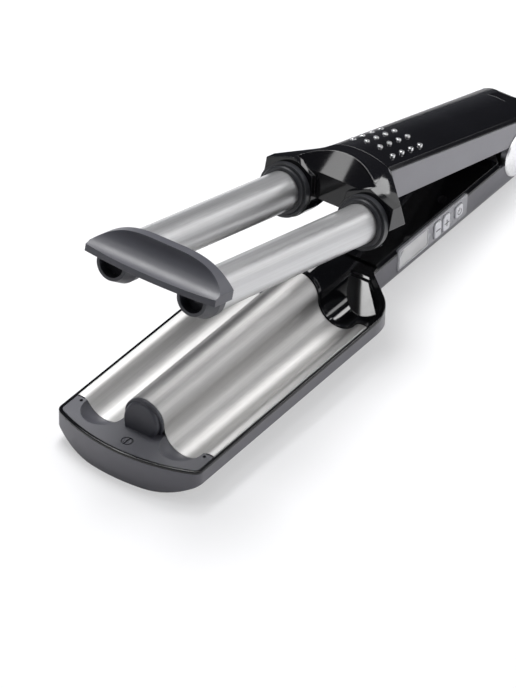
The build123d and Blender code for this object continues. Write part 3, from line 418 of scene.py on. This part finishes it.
# ---- signs on the buttons and the window's rim -------------------------------------------
MARK_PROUD = 0.10 * MM
MARK_ROOT = 0.10 * MM       # how far a sign reaches into its button
MARK_SOFT = 0.02 * MM       # rounding of its outer edge
MARK_SHARE = 0.5            # a sign's size beside the smaller side of its button
BAR_LINE = 0.55 * MM        # line width of minus and plus
BAR_SHARE = 1.1             # their length beside the sign's size
POWER_LINE = 0.42 * MM      # line width of the power sign
POWER_RADIUS, POWER_BAR, POWER_LIFT = 0.46, 0.62, 0.34    # its shares of the sign's size
POWER_DROP = 0.1 * MM
POWER_GAP_DEG = (125, 415)  # where its ring starts and ends
UPRIGHT = pi / 2
END_STEPS, RING_STEPS, CORNER_STEPS = 8, 28, 6      # straight runs in a bar's end, a ring, a corner

BEZEL_WIDTH = 0.45 * MM
BEZEL_CORNER = 0.9 * MM
BEZEL_SECTION = ((0, 0.3), (0, -0.10), (1, -0.16), (1, 0.3))    # inner 0 or outer 1, mm inwards


def raised(form, points, face):
    """A flat sign on the handle's side wall, from x, z points, with its outer edge rounded."""
    inner = [form.verts.new((x, face + MARK_ROOT, z)) for x, z in points]
    outer = [form.verts.new((x, face - MARK_PROUD, z)) for x, z in points]
    walls(form, (inner, outer))
    front = form.faces.new(outer)
    form.faces.new(inner[::-1])
    bmesh.ops.bevel(form, geom=list(front.edges), offset=MARK_SOFT, offset_type="OFFSET",
                    segments=2, profile=0.5, affect="EDGES", clamp_overlap=True)


def bar_points(cx, cz, length, width, turn=0.0):
    """Outline of a bar with round ends."""
    points = []
    for end in (1, -1):
        for k in range(END_STEPS + 1):
            a = radians(-90 + 180 * k / END_STEPS) + (0 if end > 0 else pi)
            points.append((end * (length - width) / 2 + width / 2 * cos(a), width / 2 * sin(a)))
    return [(cx + x * cos(turn) - z * sin(turn), cz + x * sin(turn) + z * cos(turn))
            for x, z in points]


def arc_band_points(cx, cz, radius, width, start_deg, end_deg):
    """Outline of a part of a ring."""
    turns = [radians(start_deg + (end_deg - start_deg) * k / RING_STEPS)
             for k in range(RING_STEPS + 1)]
    outer, inner = radius + width / 2, radius - width / 2
    return ([(cx + outer * cos(a), cz + outer * sin(a)) for a in turns] +
            [(cx + inner * cos(a), cz + inner * sin(a)) for a in turns[::-1]])


def button_marks():
    """Generic minus, plus and power symbols, printed proud of the keys."""
    for node in ("minus_button", "plus_button", "power_button"):
        low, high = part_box(node)
        cx, cz, face = (low[0] + high[0]) / 2, (low[2] + high[2]) / 2, low[1]
        size = MARK_SHARE * min(high[0] - low[0], high[2] - low[2])
        if node == "power_button":
            outlines = [arc_band_points(cx, cz - POWER_DROP, POWER_RADIUS * size, POWER_LINE,
                                        *POWER_GAP_DEG),
                        bar_points(cx, cz + POWER_LIFT * size, POWER_BAR * size, POWER_LINE,
                                   UPRIGHT)]
        else:
            outlines = [bar_points(cx, cz, size * BAR_SHARE, BAR_LINE)]
        if node == "plus_button":
            arm = (size * BAR_SHARE - BAR_LINE) / 2
            away = (BAR_LINE + arm) / 2
            outlines += [bar_points(cx, cz + away, arm, BAR_LINE, UPRIGHT),
                         bar_points(cx, cz - away, arm, BAR_LINE, UPRIGHT)]
        form = bmesh.new()
        for points in outlines:
            raised(form, points, face)
        piece_from(form, node.replace("button", "mark"), NODES[node]["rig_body"],
                   MARK_INK)


def rounded_box_points(x0, x1, z0, z1, r):
    """Outline of a rectangle with round corners."""
    points = []
    for cx, cz, start in ((x1 - r, z1 - r, 0), (x0 + r, z1 - r, 90),
                          (x0 + r, z0 + r, 180), (x1 - r, z0 + r, 270)):
        for k in range(CORNER_STEPS + 1):
            a = radians(start + 90 * k / CORNER_STEPS)
            points.append((cx + r * cos(a), cz + r * sin(a)))
    return points


def window_bezel():
    """Thin light rim round the display window."""
    low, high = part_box("lcd_window")
    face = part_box("control_panel")[0][1]
    outlines = [rounded_box_points(low[0] - grow, high[0] + grow, low[2] - grow, high[2] + grow,
                                   BEZEL_CORNER + grow) for grow in (0.0, BEZEL_WIDTH)]
    form = bmesh.new()
    rings = [[form.verts.new((x, face + depth * MM, z)) for x, z in outlines[side]]
             for side, depth in BEZEL_SECTION]
    walls(form, rings + rings[:1])
    piece_from(form, "window_bezel", NODES["lcd_window"]["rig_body"], BEZEL_PAINT)


# ---- floor, light and camera -------------------------------------------------------------
FLOOR_HALF = 6.0                      # metres
FLOOR_NEAR, FLOOR_FAR = 0.5, 1.3      # where the plain white fades out, in metres
FLOOR_WHITE = 0.46                    # share of plain white in what shows of the floor

HORIZON, ZENITH = (0.165, 0.17, 0.19), (0.042, 0.044, 0.052)
HORIZON_TOP = 0.12                    # how high the pale horizon reaches, as a direction's z
CENTRE = Vector((0.0, 0.0, 0.05))     # what the lamps face
LAMPS = (       # name, direction from the waver, distance and size in metres, watts
    ("overhead", (0.27, 0.31, 0.91), 2.2, (1.1, 1.1), 57),
    ("side_right", (0.25, -0.85, 0.42), 1.9, (1.8, 1.0), 11),
    ("front_fill", (-0.75, 0.30, 0.60), 2.4, (1.2, 1.0), 2),
    ("window", (-0.28, 0.45, 0.84), 1.5, (0.26, 0.35), 1.6),        # in the yoke's scoop
    ("bowl_glint", (-0.40, 0.44, 0.80), 1.5, (0.09, 0.10), 0.42),   # in the heel's bowls
    ("key_right", (0.74, -0.44, 0.51), 1.6, (0.4, 0.3), 1.8),
    ("rim_right", (0.836, -0.50, 0.16), 1.8, (0.8, 0.35), 1.1),
    ("edge_low", (0.66, -0.16, 0.73), 1.8, (0.3, 0.22), 2.2),
    ("edge_arm", (0.92, -0.25, 0.29), 1.9, (0.3, 0.24), 1.15),      # on the yoke's shoulder
)

AZIMUTH, ELEVATION, ROLL = radians(-55.364), radians(36.955), radians(1.304)
TARGET = Vector((-0.07555, -0.00974, 0.023))
DISTANCE = 2.477
FOCAL_PX, IMAGE_WIDTH_PX, SENSOR_MM = 4751.0, 516, 36.0
CLIP = (0.05, 50)                     # metres


def seen_rays(tree):
    """1 for rays that show a surface as it looks: camera, glossy and transmission rays."""
    path = add_node(tree, "ShaderNodeLightPath").outputs
    total = path["Is Camera Ray"]
    for name in ("Is Glossy Ray", "Is Transmission Ray"):
        total = worked_out(tree, "MAXIMUM", total, path[name])
    return total


def floor():
    """Large pale floor that shows white and keeps the waver's soft shadow."""
    mesh = bpy.data.meshes.new("floor")
    mesh.from_pydata([(-FLOOR_HALF, -FLOOR_HALF, 0), (FLOOR_HALF, -FLOOR_HALF, 0),
                      (FLOOR_HALF, FLOOR_HALF, 0), (-FLOOR_HALF, FLOOR_HALF, 0)], [],
                     [(0, 1, 2, 3)])
    plane = link_object("floor", mesh)
    pale = Shader("pale_floor", (0.92, 0.92, 0.94), 0.8)
    pale.set(Specular_IOR_Level=0.1)
    tree = pale.tree
    reach = add_node(tree, "ShaderNodeVectorMath", {0: pale.place}, operation="LENGTH")
    fade = add_node(tree, "ShaderNodeMapRange", {"Value": reach.outputs["Value"],
                                                 "From Min": FLOOR_NEAR, "From Max": FLOOR_FAR,
                                                 "To Min": 1.0, "To Max": 0.0})
    share = worked_out(tree, "MULTIPLY", seen_rays(tree), FLOOR_WHITE)
    share = worked_out(tree, "MULTIPLY", share, fade.outputs["Result"])
    white = add_node(tree, "ShaderNodeEmission", {"Color": (1, 1, 1, 1)})
    mix = add_node(tree, "ShaderNodeMixShader", {0: share, 1: pale.bsdf.outputs[0],
                                                 2: white.outputs[0]})
    tree.links.new(mix.outputs[0], tree.nodes["Material Output"].inputs["Surface"])
    mesh.materials.append(pale.material)


def world():
    """Soft studio room: pale near the horizon and darker overhead."""
    room = bpy.data.worlds.new("studio")
    bpy.context.scene.world = room
    room.use_nodes = True
    tree = room.node_tree
    place = add_node(tree, "ShaderNodeTexCoord").outputs["Generated"]
    height = add_node(tree, "ShaderNodeSeparateXYZ", {0: place}).outputs["Z"]
    ramp = add_node(tree, "ShaderNodeMapRange", {"Value": height, "From Max": HORIZON_TOP})
    color = mixed(tree, "RGBA", ramp.outputs["Result"], (*HORIZON, 1), (*ZENITH, 1))
    tree.links.new(color, tree.nodes["Background"].inputs["Color"])


def softbox(name, direction, distance, size, watts):
    """An area lamp in a direction from the waver's middle, facing it."""
    lamp = bpy.data.lights.new(name, "AREA")
    lamp.shape = "RECTANGLE"
    lamp.size, lamp.size_y = size
    lamp.energy = watts
    holder = link_object(name, lamp)
    back = Vector(direction).normalized()
    holder.location = CENTRE + back * distance
    holder.rotation_euler = back.to_track_quat("Z", "Y").to_euler()


def camera():
    """The viewing angle, distance and lens that were solved from the waver's straight edges."""
    back = Vector((sin(AZIMUTH) * cos(ELEVATION), -cos(AZIMUTH) * cos(ELEVATION), sin(ELEVATION)))
    level = Vector((cos(AZIMUTH), sin(AZIMUTH), 0))
    rise = back.cross(level)
    right = level * cos(ROLL) + rise * sin(ROLL)
    up = -level * sin(ROLL) + rise * cos(ROLL)
    lens = bpy.data.cameras.new("camera")
    lens.sensor_fit = "HORIZONTAL"
    lens.sensor_width = SENSOR_MM
    lens.lens = FOCAL_PX * SENSOR_MM / IMAGE_WIDTH_PX
    lens.clip_start, lens.clip_end = CLIP
    holder = link_object("camera", lens)
    place = Matrix((right, up, back)).transposed().to_4x4()
    place.translation = TARGET + back * DISTANCE
    holder.matrix_world = place
    bpy.context.scene.camera = holder


bpy.context.scene.view_settings.view_transform = "Standard"
dress_nodes()
dished_yoke()
pip_domes()
button_marks()
window_bezel()
floor()
world()
for lamp in LAMPS:
    softbox(*lamp)
camera()
